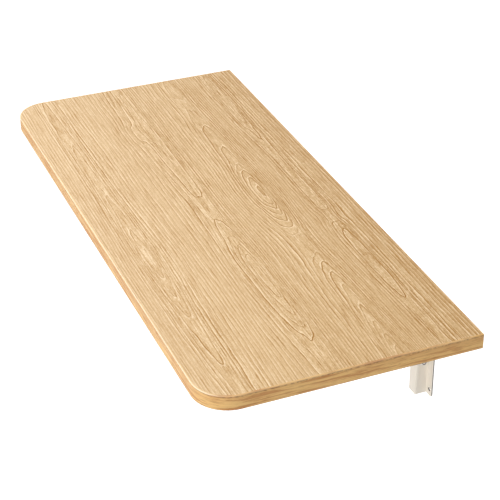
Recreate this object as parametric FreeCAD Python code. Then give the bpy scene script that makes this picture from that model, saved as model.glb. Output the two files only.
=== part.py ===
# Wall mounted drop leaf table: a laminated leaf that folds down on two steel brackets.
# Sizes are millimetres. The origin is the middle of the outer wall holes, on the wall's face:
# +X to the right for someone facing the wall, +Y into the wall, +Z up. The leaf is raised for use.
import FreeCAD
import Part
import math
import os

# Leaf
LEAF_LENGTH = 800.0
LEAF_DEPTH = 350.0
LEAF_THICKNESS = 20.0
CORNER_RADIUS = 45.0  # front corners, seen from above
LAMINATE = 0.6
EDGE_BAND = 2.0
BACK_BAND = 1.0
EDGE_ROUND = 1.0  # long outer edges of the front band
WALL_GAP = 1.0  # back edge of the leaf to the wall
TOP_HEIGHT = 107.0  # table top above the middle of the wall holes

# Brackets
BRACKET_INSET = 132.0  # end of the leaf to the middle of a bracket
SHEET = 2.0
BEND_RADIUS = 0.5  # inside of each bend

# Wall leg, a hat section
LEG_WIDTH = 18.0
LEG_DEPTH = 18.0
FLANGE = 14.0
FLANGE_CORNER = 4.0
HOLE_RADIUS = 2.5
HOLE_FROM_RIDGE = 8.0
HOLE_SPACING = 100.0  # upper to lower wall hole
HOLE_EDGE = 9.5  # lower wall hole to the bottom of the leg

# Hinge of the arm on the wall leg
PIN_RADIUS = 3.0
PIN_EDGE = 3.0  # steel left above the hinge pin
PIN_HEAD_RADIUS = 5.0
PIN_HEAD = 1.5
BUSH_RADIUS = 5.5

# Arm channel under the leaf
ARM_SETBACK = 36.0  # front edge of the leaf to the arm's front end
ARM_NOSE = 14.0  # sloped front end of the side walls
ARM_TAIL = 25.0  # arm left beyond the folded roller

# Brace
BRACE_DROP = 83.0  # hinge pin to brace pivot
BAR_WIDTH = 12.0
BAR_THICKNESS = 2.0
WASHER = 0.5
WASHER_RADIUS = 5.5
RIVET_RADIUS = 2.3
RIVET_HEAD_RADIUS = 3.7
RIVET_HEAD = 1.2
SPACER_RADIUS = 4.0
SPACER_BELOW_LEG = 10.0  # room under the folded leg's end

# Roller and its catch
ROLLER_RADIUS = 7.0
ROLLER_EDGE = 0.8
AXLE_RADIUS = 2.5
CATCH_THICKNESS = 1.2
CATCH_WIDTH = 12.0
CATCH_BLADE = 45.0
CATCH_BASE = 14.0

# Arm screws
SCREW_RADIUS = 2.0
SCREW_LENGTH = 15.0
SCREW_POINT = 3.0
SCREW_HEAD_RADIUS = 4.0
SCREW_HEAD = 2.4
SCREW_CROSS = 4.6
SCREW_CROSS_WIDTH = 1.0
SCREW_CROSS_DEPTH = 1.3
SCREW_FROM_PIN = 40.0
SCREW_FROM_NOSE = 12.0

# Clearances
RUNNING_FIT = 0.05  # radial, pin in hole
ROLLER_GAP = 0.3
HOLE_CLEARANCE = 0.25  # radial, screw in the arm
SIDE_GAP = 0.8  # rivet heads to the arm's side walls
FLANGE_GAP = 0.5  # folded arm to the leg's flanges
NEST_GAP = 0.6  # screw heads to the folded leg

# Cutters run past the faces that they open by this much, and edges are matched this closely
OVERRUN = 1.0
MATCH = 1e-4

# Leaf levels
underside = TOP_HEIGHT - LEAF_THICKNESS
leaf_front = -WALL_GAP - LEAF_DEPTH
bracket_x = LEAF_LENGTH / 2 - BRACKET_INSET

# Across the bracket, measured from its middle
leg_half = LEG_WIDTH / 2
bar_inside = leg_half + WASHER
bar_outside = bar_inside + BAR_THICKNESS
arm_inside = bar_outside + RIVET_HEAD + SIDE_GAP
arm_outside = arm_inside + SHEET
bend_outside = BEND_RADIUS + SHEET

# Hinge pin: halfway through the leg, with room above it for the folded leg and the screw heads
pin_y = -LEG_DEPTH / 2
web_inside = LEG_DEPTH / 2 + NEST_GAP + SCREW_HEAD
web_outside = web_inside + SHEET
pin_z = underside - web_outside
arm_lip = LEG_DEPTH / 2 - SHEET - FLANGE_GAP
arm_length = LEAF_DEPTH + WALL_GAP - LEG_DEPTH / 2 - ARM_SETBACK
leg_top = pin_z + PIN_RADIUS + PIN_EDGE
leg_bottom = -HOLE_SPACING / 2 - HOLE_EDGE

# Brace: the folded roller ends ARM_TAIL short of the arm's end, and that gives the brace's length
brace_z = pin_z - BRACE_DROP
roller_rise = web_inside - ROLLER_GAP - ROLLER_RADIUS
folded_reach = arm_length - ARM_TAIL - ROLLER_RADIUS
brace_length = math.hypot(folded_reach - BRACE_DROP, roller_rise)
roller_reach = math.sqrt(brace_length ** 2 - (BRACE_DROP + roller_rise) ** 2)
roller_y = pin_y - roller_reach
roller_z = pin_z + roller_rise
spacer_at = brace_z - leg_bottom + SPACER_RADIUS + SPACER_BELOW_LEG
spacer_y = pin_y + (roller_y - pin_y) * spacer_at / brace_length
spacer_z = brace_z + (roller_z - brace_z) * spacer_at / brace_length

# Screws along the arm, measured from the hinge pin
middle_screw = (SCREW_FROM_PIN + roller_reach) / 2
screw_reaches = (SCREW_FROM_PIN, middle_screw, arm_length - SCREW_FROM_NOSE)
wall_hole_x = leg_half + HOLE_FROM_RIDGE


def box(x0, x1, y0, y1, z0, z1):
    return Part.makeBox(x1 - x0, y1 - y0, z1 - z0, FreeCAD.Vector(x0, y0, z0))


def rod(radius, x0, x1, y, z):
    """A cylinder along X."""
    return Part.makeCylinder(radius, x1 - x0, FreeCAD.Vector(x0, y, z), FreeCAD.Vector(1, 0, 0))


def post(radius, z0, z1, x, y):
    """A cylinder along Z."""
    return Part.makeCylinder(radius, z1 - z0, FreeCAD.Vector(x, y, z0), FreeCAD.Vector(0, 0, 1))


def line(start, end):
    return Part.LineSegment(start, end).toShape()


def arc(start, middle, end):
    return Part.Arc(start, middle, end).toShape()


def long_edges(solid, direction, places):
    """The straight edges along a direction whose middles lie on the given places across it."""
    found = []
    for edge in solid.Edges:
        if len(edge.Vertexes) != 2:
            continue
        run = edge.Vertexes[1].Point - edge.Vertexes[0].Point
        if run.Length < MATCH or run.cross(direction).Length > MATCH:
            continue
        middle = edge.CenterOfMass
        across = middle - direction * middle.dot(direction)
        if any((across - place).Length < MATCH for place in places):
            found.append(edge)
    return found


def panel(inset, back, z0, z1):
    """The leaf's outline, drawn in by the inset on its ends and front, between two levels."""
    end = LEAF_LENGTH / 2 - inset
    front = leaf_front + inset
    radius = CORNER_RADIUS - inset
    diagonal = radius * (1 - math.sqrt(0.5))

    def at(x, y):
        return FreeCAD.Vector(x, y, z0)

    edges = [
        line(at(-end, back), at(-end, front + radius)),
        arc(at(-end, front + radius), at(-end + diagonal, front + diagonal), at(-end + radius, front)),
        line(at(-end + radius, front), at(end - radius, front)),
        arc(at(end - radius, front), at(end - diagonal, front + diagonal), at(end, front + radius)),
        line(at(end, front + radius), at(end, back)),
        line(at(end, back), at(-end, back)),
    ]
    return Part.Face(Part.Wire(edges)).extrude(FreeCAD.Vector(0, 0, z1 - z0))


def pilot_holes():
    """The bores that the arm screws make in the leaf."""
    bores = []
    for side in (-1, 1):
        for reach in screw_reaches:
            bores.append(arm_screw(reach).translated(FreeCAD.Vector(side * bracket_x, 0, 0)))
    return bores


def front_band():
    whole = panel(0, -WALL_GAP, underside, TOP_HEIGHT)
    rims = []
    for edge in whole.Edges:
        middle = edge.CenterOfMass
        level = abs(middle.z - underside) < MATCH or abs(middle.z - TOP_HEIGHT) < MATCH
        if level and middle.y < -WALL_GAP - MATCH:
            rims.append(edge)
    rounded = whole.makeFillet(EDGE_ROUND, rims)
    return rounded.cut(panel(EDGE_BAND, 0, underside - OVERRUN, TOP_HEIGHT + OVERRUN))


def leaf_pieces():
    core_back = -WALL_GAP - BACK_BAND
    half = LEAF_LENGTH / 2 - EDGE_BAND
    bores = pilot_holes()
    core = panel(EDGE_BAND, core_back, underside + LAMINATE, TOP_HEIGHT - LAMINATE)
    bottom = panel(EDGE_BAND, core_back, underside, underside + LAMINATE)
    return {
        "table_core": core.cut(bores),
        "top_laminate": panel(EDGE_BAND, core_back, TOP_HEIGHT - LAMINATE, TOP_HEIGHT),
        "bottom_laminate": bottom.cut(bores),
        "edge_band_front": front_band(),
        "edge_band_back": box(-half, half, core_back, -WALL_GAP, underside, TOP_HEIGHT),
    }


def wall_leg():
    """A hat section: a ridge that carries both pivots, between two flanges against the wall."""
    inner = leg_half - SHEET
    outer = leg_half + FLANGE
    outline = [
        (outer, 0),
        (outer, -SHEET),
        (leg_half, -SHEET),
        (leg_half, -LEG_DEPTH),
        (-leg_half, -LEG_DEPTH),
        (-leg_half, -SHEET),
        (-outer, -SHEET),
        (-outer, 0),
        (-inner, 0),
        (-inner, -LEG_DEPTH + SHEET),
        (inner, -LEG_DEPTH + SHEET),
        (inner, 0),
    ]
    points = [FreeCAD.Vector(x, y, leg_bottom) for x, y in outline]
    profile = Part.Face(Part.makePolygon(points + points[:1]))
    solid = profile.extrude(FreeCAD.Vector(0, 0, leg_top - leg_bottom))
    up = FreeCAD.Vector(0, 0, 1)
    outer_bends = [FreeCAD.Vector(s * leg_half, -LEG_DEPTH, 0) for s in (-1, 1)]
    outer_bends += [FreeCAD.Vector(s * inner, 0, 0) for s in (-1, 1)]
    inner_bends = [FreeCAD.Vector(s * inner, -LEG_DEPTH + SHEET, 0) for s in (-1, 1)]
    inner_bends += [FreeCAD.Vector(s * leg_half, -SHEET, 0) for s in (-1, 1)]
    solid = solid.makeFillet(bend_outside, long_edges(solid, up, outer_bends))
    solid = solid.makeFillet(BEND_RADIUS, long_edges(solid, up, inner_bends))
    back = FreeCAD.Vector(0, 1, 0)
    corners = [FreeCAD.Vector(s * outer, 0, z) for s in (-1, 1) for z in (leg_bottom, leg_top)]
    solid = solid.makeFillet(FLANGE_CORNER, long_edges(solid, back, corners))
    cuts = [
        rod(PIN_RADIUS, -leg_half - OVERRUN, leg_half + OVERRUN, pin_y, pin_z),
        rod(RIVET_RADIUS, -leg_half - OVERRUN, leg_half + OVERRUN, pin_y, brace_z),
    ]
    for x in (-wall_hole_x, wall_hole_x):
        for z in (-HOLE_SPACING / 2, HOLE_SPACING / 2):
            start = FreeCAD.Vector(x, -SHEET - OVERRUN, z)
            cuts.append(Part.makeCylinder(HOLE_RADIUS, SHEET + 2 * OVERRUN, start, back))
    return solid.cut(cuts)


def arm_channel():
    """A channel, open below, that straddles the wall leg when the leaf hangs down."""
    y0 = pin_y - arm_length
    y1 = pin_y + arm_lip
    low = pin_z - arm_lip
    high = pin_z + web_outside
    ceiling = pin_z + web_inside
    solid = box(-arm_outside, arm_outside, y0, y1, low, high)
    solid = solid.cut(box(-arm_inside, arm_inside, y0 - OVERRUN, y1 + OVERRUN, low - OVERRUN, ceiling))
    along = FreeCAD.Vector(0, 1, 0)
    outer_bends = [FreeCAD.Vector(s * arm_outside, 0, high) for s in (-1, 1)]
    inner_bends = [FreeCAD.Vector(s * arm_inside, 0, ceiling) for s in (-1, 1)]
    solid = solid.makeFillet(bend_outside, long_edges(solid, along, outer_bends))
    solid = solid.makeFillet(BEND_RADIUS, long_edges(solid, along, inner_bends))

    def at(y, z):
        return FreeCAD.Vector(-arm_outside - OVERRUN, y, z)

    heel = arm_lip * math.sqrt(0.5)
    side_view = [
        line(at(y1, high), at(y1, pin_z)),
        arc(at(y1, pin_z), at(pin_y + heel, pin_z - heel), at(pin_y, low)),
        line(at(pin_y, low), at(y0 + ARM_NOSE, low)),
        line(at(y0 + ARM_NOSE, low), at(y0, ceiling - BEND_RADIUS)),
        line(at(y0, ceiling - BEND_RADIUS), at(y0, high)),
        line(at(y0, high), at(y1, high)),
    ]
    outline = Part.Face(Part.Wire(side_view))
    across = 2 * (arm_outside + OVERRUN)
    solid = solid.common(outline.extrude(FreeCAD.Vector(across, 0, 0)))
    bore = PIN_RADIUS + RUNNING_FIT
    cuts = [rod(bore, -arm_outside - OVERRUN, arm_outside + OVERRUN, pin_y, pin_z)]
    for reach in screw_reaches:
        radius = SCREW_RADIUS + HOLE_CLEARANCE
        cuts.append(post(radius, ceiling - OVERRUN, high + OVERRUN, 0, pin_y - reach))
    return solid.cut(cuts)


def head(radius, height, x, y, z, way):
    """A flat rivet head with a rounded rim, standing out along X from its seat."""
    start = FreeCAD.Vector(x, y, z)
    disc = Part.makeCylinder(radius, height, start, FreeCAD.Vector(way, 0, 0))
    crown = x + way * height
    rim = [edge for edge in disc.Edges if edge.Closed and abs(edge.CenterOfMass.x - crown) < MATCH]
    return disc.makeFillet(height / 2, rim)


def rivet(radius, grip, head_radius, head_height, y, z):
    """A pin across the bracket with a head beyond the grip on each side."""
    solid = rod(radius, -grip, grip, y, z)
    for way in (-1, 1):
        solid = solid.fuse(head(head_radius, head_height, way * grip, y, z, way))
    return solid.removeSplitter()


def ring(radius, bore, x0, x1, y, z):
    return rod(radius, x0, x1, y, z).cut(rod(bore, x0 - OVERRUN, x1 + OVERRUN, y, z))


def ring_pair(radius, bore, inside, outside, y, z):
    """Two alike rings, one on each side of the bracket's middle."""
    right = ring(radius, bore, inside, outside, y, z)
    left = ring(radius, bore, -outside, -inside, y, z)
    return Part.makeCompound([left, right])


def brace_bar(way):
    """A flat bar with round ends from the brace pivot to the roller's axle."""
    x0 = bar_inside if way > 0 else -bar_outside
    half = BAR_WIDTH / 2
    along = FreeCAD.Vector(0, roller_y - pin_y, roller_z - brace_z).normalize()
    across = FreeCAD.Vector(0, -along.z, along.y)
    low = FreeCAD.Vector(x0, pin_y, brace_z)
    top = FreeCAD.Vector(x0, roller_y, roller_z)
    outline = [
        line(low + across * half, top + across * half),
        arc(top + across * half, top + along * half, top - across * half),
        line(top - across * half, low - across * half),
        arc(low - across * half, low - along * half, low + across * half),
    ]
    bar = Part.Face(Part.Wire(outline)).extrude(FreeCAD.Vector(BAR_THICKNESS, 0, 0))
    reach = (x0 - OVERRUN, x0 + BAR_THICKNESS + OVERRUN)
    cuts = [
        rod(RIVET_RADIUS + RUNNING_FIT, *reach, pin_y, brace_z),
        rod(AXLE_RADIUS, *reach, roller_y, roller_z),
        rod(RIVET_RADIUS, *reach, spacer_y, spacer_z),
    ]
    return bar.cut(cuts)


def roller():
    half = bar_inside - ROLLER_GAP
    wheel = rod(ROLLER_RADIUS, -half, half, roller_y, roller_z)
    rims = [edge for edge in wheel.Edges if edge.Closed]
    wheel = wheel.makeFillet(ROLLER_EDGE, rims)
    bore = AXLE_RADIUS + RUNNING_FIT
    return wheel.cut(rod(bore, -half - OVERRUN, half + OVERRUN, roller_y, roller_z))


def catch_spring():
    """A blade under the arm's web that slopes down to the front of the roller and holds it."""
    tip_y = roller_y - ROLLER_RADIUS - ROLLER_GAP
    bend_y = tip_y - CATCH_BLADE
    base_y = bend_y - CATCH_BASE
    ceiling = pin_z + web_inside
    tip_low = roller_z - CATCH_THICKNESS / 2
    side_view = [
        (base_y, ceiling),
        (bend_y, ceiling),
        (tip_y, tip_low + CATCH_THICKNESS),
        (tip_y, tip_low),
        (bend_y, ceiling - CATCH_THICKNESS),
        (base_y, ceiling - CATCH_THICKNESS),
    ]
    points = [FreeCAD.Vector(-CATCH_WIDTH / 2, y, z) for y, z in side_view]
    profile = Part.Face(Part.makePolygon(points + points[:1]))
    return profile.extrude(FreeCAD.Vector(CATCH_WIDTH, 0, 0))


def arm_screw(reach):
    """A pan head screw that goes up through the arm's web into the leaf."""
    y = pin_y - reach
    seat = pin_z + web_inside
    tip = seat + SCREW_LENGTH
    shank = post(SCREW_RADIUS, seat, tip - SCREW_POINT, 0, y)
    up = FreeCAD.Vector(0, 0, 1)
    point = Part.makeCone(SCREW_RADIUS, 0, SCREW_POINT, FreeCAD.Vector(0, y, tip - SCREW_POINT), up)
    pan = post(SCREW_HEAD_RADIUS, seat - SCREW_HEAD, seat, 0, y)
    rim = [edge for edge in pan.Edges if edge.Closed and abs(edge.CenterOfMass.z - seat) > MATCH]
    pan = pan.makeFillet(SCREW_HEAD / 2, rim)
    bottom = seat - SCREW_HEAD - OVERRUN
    depth = seat - SCREW_HEAD + SCREW_CROSS_DEPTH
    wide = SCREW_CROSS / 2
    thin = SCREW_CROSS_WIDTH / 2
    cross = box(-wide, wide, y - thin, y + thin, bottom, depth)
    cross = cross.fuse(box(-thin, thin, y - wide, y + wide, bottom, depth))
    return shank.fuse([point, pan]).removeSplitter().cut(cross)


def bracket_pieces(side, word):
    """One folding bracket, moved to its side of the leaf."""
    spacer = ring(SPACER_RADIUS, RIVET_RADIUS, -bar_inside, bar_inside, spacer_y, spacer_z)
    pieces = {
        "wall_leg": wall_leg(),
        "arm_channel": arm_channel(),
        "hinge_pin": rivet(PIN_RADIUS, arm_outside, PIN_HEAD_RADIUS, PIN_HEAD, pin_y, pin_z),
        "hinge_bushes": ring_pair(BUSH_RADIUS, PIN_RADIUS, leg_half, arm_inside, pin_y, pin_z),
        "arm_screws": Part.makeCompound([arm_screw(reach) for reach in screw_reaches]),
        "brace_bar_outer": brace_bar(side),
        "brace_bar_inner": brace_bar(-side),
        "brace_pivot": rivet(RIVET_RADIUS, bar_outside, RIVET_HEAD_RADIUS, RIVET_HEAD, pin_y, brace_z),
        "brace_washers": ring_pair(WASHER_RADIUS, RIVET_RADIUS, leg_half, bar_inside, pin_y, brace_z),
        "brace_spacer": spacer,
        "brace_rivet": rivet(RIVET_RADIUS, bar_outside, RIVET_HEAD_RADIUS, RIVET_HEAD, spacer_y, spacer_z),
        "roller_axle": rivet(AXLE_RADIUS, bar_outside, RIVET_HEAD_RADIUS, RIVET_HEAD, roller_y, roller_z),
        "roller": roller(),
        "catch_spring": catch_spring(),
    }
    shift = FreeCAD.Vector(side * bracket_x, 0, 0)
    return {f"{name}_{word}": shape.translated(shift) for name, shape in pieces.items()}


def main():
    pieces = leaf_pieces()
    for side, word in ((-1, "left"), (1, "right")):
        pieces.update(bracket_pieces(side, word))
    os.makedirs("parts", exist_ok=True)
    for name, shape in pieces.items():
        shape.exportStep(f"parts/{name}.step")
        print(f"{name}: {len(shape.Solids)} solid, {shape.Volume:.1f} mm3, valid {shape.isValid()}")
    slope = math.degrees(math.atan2(BRACE_DROP + roller_rise, roller_reach))
    tilt = math.degrees(math.asin(roller_rise / brace_length))
    print(f"hinge pin at y {pin_y:.3f}, z {pin_z:.3f}; brace pivot z {brace_z:.3f}")
    print(f"roller at y {roller_y:.3f}, z {roller_z:.3f}; brace {brace_length:.3f} long")
    print(f"brace turns {90 + slope - tilt:.3f} degrees while the leaf turns 90")


main()
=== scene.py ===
# %% [markdown]
# A wall mounted drop leaf table: an oak print leaf on two white folding brackets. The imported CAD
# model is a fixed frame of named pieces in metres: +X runs along the wall, +Y points into the wall
# and +Z is up. This lesson sets up the view, mixes each finish from shader nodes, and models every
# piece of the brackets again with soft edges. Everything is placed by the frame's own measurements.

# %% Load the frame
import bmesh
import bpy
import math
from mathutils import Matrix, Vector


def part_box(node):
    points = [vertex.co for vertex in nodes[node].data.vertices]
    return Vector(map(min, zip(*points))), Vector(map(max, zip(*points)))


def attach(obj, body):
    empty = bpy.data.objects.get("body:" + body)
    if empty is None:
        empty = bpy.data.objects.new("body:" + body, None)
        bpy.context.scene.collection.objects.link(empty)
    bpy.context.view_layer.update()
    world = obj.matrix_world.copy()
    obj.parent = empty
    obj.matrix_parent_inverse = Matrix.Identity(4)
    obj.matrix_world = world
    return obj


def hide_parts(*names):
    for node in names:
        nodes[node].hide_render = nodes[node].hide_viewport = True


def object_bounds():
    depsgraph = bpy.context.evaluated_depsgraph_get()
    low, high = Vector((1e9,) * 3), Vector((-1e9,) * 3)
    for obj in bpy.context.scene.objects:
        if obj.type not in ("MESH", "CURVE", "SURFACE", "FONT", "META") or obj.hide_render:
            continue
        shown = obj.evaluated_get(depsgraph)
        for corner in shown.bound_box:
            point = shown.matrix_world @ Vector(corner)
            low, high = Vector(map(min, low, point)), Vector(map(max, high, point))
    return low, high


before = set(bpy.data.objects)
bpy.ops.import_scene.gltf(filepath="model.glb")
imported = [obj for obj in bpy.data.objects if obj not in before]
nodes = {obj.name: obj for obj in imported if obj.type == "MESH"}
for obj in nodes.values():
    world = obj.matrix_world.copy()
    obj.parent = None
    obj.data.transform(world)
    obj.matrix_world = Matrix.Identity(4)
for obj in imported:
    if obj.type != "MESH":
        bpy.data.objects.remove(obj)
cad_box = [list(corner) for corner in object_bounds()]
scene = bpy.context.scene
MM = 0.001

# %% [markdown]
# Places are read from the frame once, here, and used by name from then on. Both brackets are alike, so
# only the right one is measured: its middle along the wall, and its four axles. Sizes that no box of
# the frame shows, such as the sheet's thickness and where the wall holes are, are written beside them.

# %% Measure the frame
def middle_of(node):
    low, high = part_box(node)
    return (low + high) / 2


FRONT = cad_box[0][1]
HALF_LENGTH = cad_box[1][0]
TOP = cad_box[1][2]
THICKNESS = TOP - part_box("edge_band_front")[0].z
LEG_LOW, LEG_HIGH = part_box("wall_leg_right")
BRACKET = middle_of("wall_leg_right").x
TO_LEFT = middle_of("wall_leg_left").x - BRACKET
PIN = middle_of("hinge_pin_right")
PIVOT = middle_of("brace_pivot_right")
SPACER = middle_of("brace_spacer_right")
AXLE = middle_of("roller_right")
SHEET = 2.0 * MM
WALL_HOLE_OUT = 17.0 * MM
WALL_HOLE_UP = 50.0 * MM
WALL_HOLE = 2.5 * MM
print("Leaf", round(THICKNESS / MM, 1), "mm thick, bracket at", round(BRACKET, 4), "m")

# %% [markdown]
# The view comes first, because every later judgement is made through it. A camera can be aimed by
# eye, but a picture's corners give its place exactly: the four corners of the leaf fix where the
# lens stood, how it was turned and how long it was. The turn is built from three plain angles.

# %% Camera
CAMERA_PLACE = (1.68259, -0.82489, 1.13232)
CAMERA_AZIMUTH = 67.60853
CAMERA_ELEVATION = 31.22563
CAMERA_ROLL = -0.16964
CAMERA_LENS = 111.8665
SENSOR = 36.0

around = Matrix.Rotation(math.radians(CAMERA_AZIMUTH), 4, "Z")
tilt = Matrix.Rotation(math.radians(90 - CAMERA_ELEVATION), 4, "X")
roll = Matrix.Rotation(math.radians(CAMERA_ROLL), 4, "Z")
camera_data = bpy.data.cameras.new("view")
camera_data.lens = CAMERA_LENS
camera_data.sensor_width = SENSOR
camera = bpy.data.objects.new("view", camera_data)
camera.matrix_world = Matrix.Translation(CAMERA_PLACE) @ around @ tilt @ roll
scene.collection.objects.link(camera)
scene.camera = camera
scene.view_settings.view_transform = "Standard"
print("Camera looks down", round(CAMERA_ELEVATION, 1), "degrees through a", round(CAMERA_LENS), "mm lens")

# %% [markdown]
# Shader nodes are wordy in Python, so a small helper joins them: a value may be a number, a colour
# or another node's output, and the helper sets it or links it. The groups and finishes below then
# read from top to bottom.

# %% A helper that wires shader nodes
class Wiring:
    """Adds shader nodes to one tree and joins them."""

    def __init__(self, tree):
        self.tree = tree

    def feed(self, socket, value):
        if isinstance(value, bpy.types.NodeSocket):
            self.tree.links.new(value, socket)
        else:
            socket.default_value = value

    def node(self, kind, sockets=None, **settings):
        made = self.tree.nodes.new("ShaderNode" + kind)
        for name, value in settings.items():
            setattr(made, name, value)
        for key, value in (sockets or {}).items():
            self.feed(made.inputs[key], value)
        return made

    def math(self, operation, *values):
        return self.node("Math", dict(enumerate(values)), operation=operation).outputs[0]

    def vector(self, operation, *values):
        return self.node("VectorMath", dict(enumerate(values)), operation=operation).outputs

    def total(self, first, *others):
        """Adds any number of values."""
        for other in others:
            first = self.math("ADD", first, other)
        return first

    def product(self, first, *others):
        """Multiplies any number of values."""
        for other in others:
            first = self.math("MULTIPLY", first, other)
        return first

    def stretch(self, vector, scale, place=(0.0, 0.0, 0.0)):
        """Moves a pattern to a place, then packs it by so many repeats a metre each way."""
        moved = self.vector("SUBTRACT", vector, place)[0]
        return self.vector("MULTIPLY", moved, scale)[0]

    def noise(self, vector, repeats=None, scale=1.0, detail=2.0, roughness=0.5, distortion=0.0):
        """A soft pattern, packed by repeats a metre each way or by one scale."""
        if repeats:
            vector = self.stretch(vector, repeats)
        sockets = {"Vector": vector, "Scale": scale, "Detail": detail, "Roughness": roughness}
        sockets["Distortion"] = distortion
        return self.node("TexNoise", sockets).outputs["Fac"]

    def ease(self, value, low, high, out_low=0.0, out_high=1.0):
        """Goes smoothly from one value to another while the input goes from low to high."""
        sockets = {"Value": value, "From Min": low, "From Max": high, "To Min": out_low, "To Max": out_high}
        return self.node("MapRange", sockets, interpolation_type="SMOOTHSTEP").outputs[0]

    def blend(self, amount, first, second):
        """Goes from one colour to another as the amount goes from 0 to 1."""
        return self.node("Mix", {0: amount, 6: first, 7: second}, data_type="RGBA").outputs[2]

    def bump(self, height, strength, distance):
        """Tilts the surface as if this height were pressed into it, so many metres deep."""
        return self.node("Bump", {"Height": height, "Strength": strength, "Distance": distance}).outputs[0]


print("Wiring ready")

# %% [markdown]
# Groups and finishes are made from recipes. A recipe is a function that takes where it starts from, a
# group's inputs or a place on the piece, and returns what comes out, by name: a group's outputs, or
# what feeds the inputs of the shader. Colours are written as on a paint card.

# %% Groups and finishes from recipes
finishes = {}


def emptied(owner):
    """Turns on the nodes of a material or a world, clears them and returns their wiring."""
    owner.use_nodes = True
    owner.node_tree.nodes.clear()
    return Wiring(owner.node_tree)


def new_group(name, inputs, recipe):
    """A shader node group with named sockets."""
    tree = bpy.data.node_groups.new(name, "ShaderNodeTree")
    for label in inputs:
        kind = "NodeSocketVector" if label == "Vector" else "NodeSocketFloat"
        tree.interface.new_socket(name=label, in_out="INPUT", socket_type=kind)
    wiring = Wiring(tree)
    results = recipe(wiring, tree.nodes.new("NodeGroupInput").outputs)
    for label in results:
        tree.interface.new_socket(name=label, in_out="OUTPUT", socket_type="NodeSocketFloat")
    end = tree.nodes.new("NodeGroupOutput")
    for label, value in results.items():
        wiring.feed(end.inputs[label], value)
    print("Group", name, "has", len(tree.nodes), "nodes")
    return tree


def new_finish(recipe):
    """A material with a Principled shader, named after its recipe and kept among the finishes."""
    name = recipe.__name__
    finishes[name] = bpy.data.materials.new(name)
    wiring = emptied(finishes[name])
    shader = wiring.node("BsdfPrincipled")
    wiring.node("OutputMaterial", {"Surface": shader.outputs[0]})
    place = wiring.node("TexCoord").outputs["Object"]
    for label, value in recipe(wiring, place).items():
        wiring.feed(shader.inputs[label], value)
    print("Finish", name, "has", len(wiring.tree.nodes), "nodes")


def srgb(red, green, blue):
    """A colour given as 0 to 255, in the linear light that nodes use."""
    parts = [c / 255 for c in (red, green, blue)]
    linear = [p / 12.92 if p <= 0.04045 else ((p + 0.055) / 1.055) ** 2.4 for p in parts]
    return (*linear, 1.0)


print("Mid oak in linear light is", [round(c, 3) for c in srgb(224, 191, 148)])

# %% [markdown]
# The stage is a plain white sweep with soft light. The leaf hangs on a wall at table height, so the
# floor lies well below it and catches its shadow out of the picture. The floor is lit paint plus a
# little glow that only the camera and mirrors see, which keeps the page white and the shadow real. Far
# from the table the glow rises to full white, so that no horizon shows in a low view. Seen from below,
# the floor lets the view through, so that the underside can be looked at.

# %% Floor and world
TABLE_HEIGHT = 0.75
FLOOR_SIZE = 24.0
AMBIENT = 0.25
WHITE = (1.0, 1.0, 1.0, 1.0)
FLOOR_PAINT = (0.80, 0.80, 0.80, 1.0)
FLOOR_GLOW = 0.75
GLOW_NEAR = 1.5
GLOW_FAR = 5.0

bpy.ops.object.select_all(action="DESELECT")
bpy.ops.mesh.primitive_plane_add(size=FLOOR_SIZE, location=(0, 0, TOP - TABLE_HEIGHT))
floor = bpy.context.active_object
floor.name = "floor"


def seen_directly(wiring):
    """1 for rays from the camera, from mirrors and through glass, and 0 for the light itself."""
    path = wiring.node("LightPath").outputs
    glossy = wiring.math("MAXIMUM", path["Is Camera Ray"], path["Is Glossy Ray"])
    return wiring.math("MAXIMUM", glossy, path["Is Transmission Ray"])


paint = bpy.data.materials.new("floor_paint")
wiring = emptied(paint)
matt = wiring.node("BsdfDiffuse", {"Color": FLOOR_PAINT}).outputs[0]
floor_place = wiring.node("TexCoord").outputs["Object"]
out = wiring.vector("LENGTH", floor_place)["Value"]
lifted = wiring.ease(out, GLOW_NEAR, GLOW_FAR, FLOOR_GLOW, 1.0)
glow = wiring.node("Emission", {"Strength": wiring.product(seen_directly(wiring), lifted)}).outputs[0]
lit = wiring.node("AddShader", {0: matt, 1: glow}).outputs[0]
clear = wiring.node("BsdfTransparent").outputs[0]
below = wiring.node("NewGeometry").outputs["Backfacing"]
surface = wiring.node("MixShader", {0: below, 1: lit, 2: clear}).outputs[0]
wiring.node("OutputMaterial", {"Surface": surface})
floor.data.materials.append(paint)

scene.world = bpy.data.worlds.new("white_room")
wiring = emptied(scene.world)
page = wiring.node("Background", {"Color": WHITE, "Strength": 1.0}).outputs[0]
air = wiring.node("Background", {"Color": WHITE, "Strength": AMBIENT}).outputs[0]
sky = wiring.node("MixShader", {0: seen_directly(wiring), 1: air, 2: page}).outputs[0]
wiring.node("OutputWorld", {"Surface": sky})
print("Floor", TABLE_HEIGHT, "m below the top, ambient light", AMBIENT)

# %% [markdown]
# Five large soft lamps do the rest, and each has one job. The key stands in front and to the left and
# makes the front edge the brightest face. The overhead lamp gives the top its even light. The sheen
# lamp stands beyond the far end, where the satin top mirrors it faintly, most of all near the front.
# Two fills stand low, one in front and one off the near end, and light the steel under the leaf.

# %% Lamps
LAMPS = {
    "key": {"place": (-0.5, -1.7, 1.35), "size": 1.2, "power": 16.0},
    "overhead": {"place": (0.5, -0.6, 2.2), "size": 1.6, "power": 23.0},
    "sheen": {"place": (-1.6, -0.15, 1.55), "size": 1.0, "power": 11.8},
    "front_fill": {"place": (0.5, -2.4, 0.0), "size": 1.6, "power": 17.0},
    "end_fill": {"place": (2.2, -0.9, 0.5), "size": 1.5, "power": 11.9},
}

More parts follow.
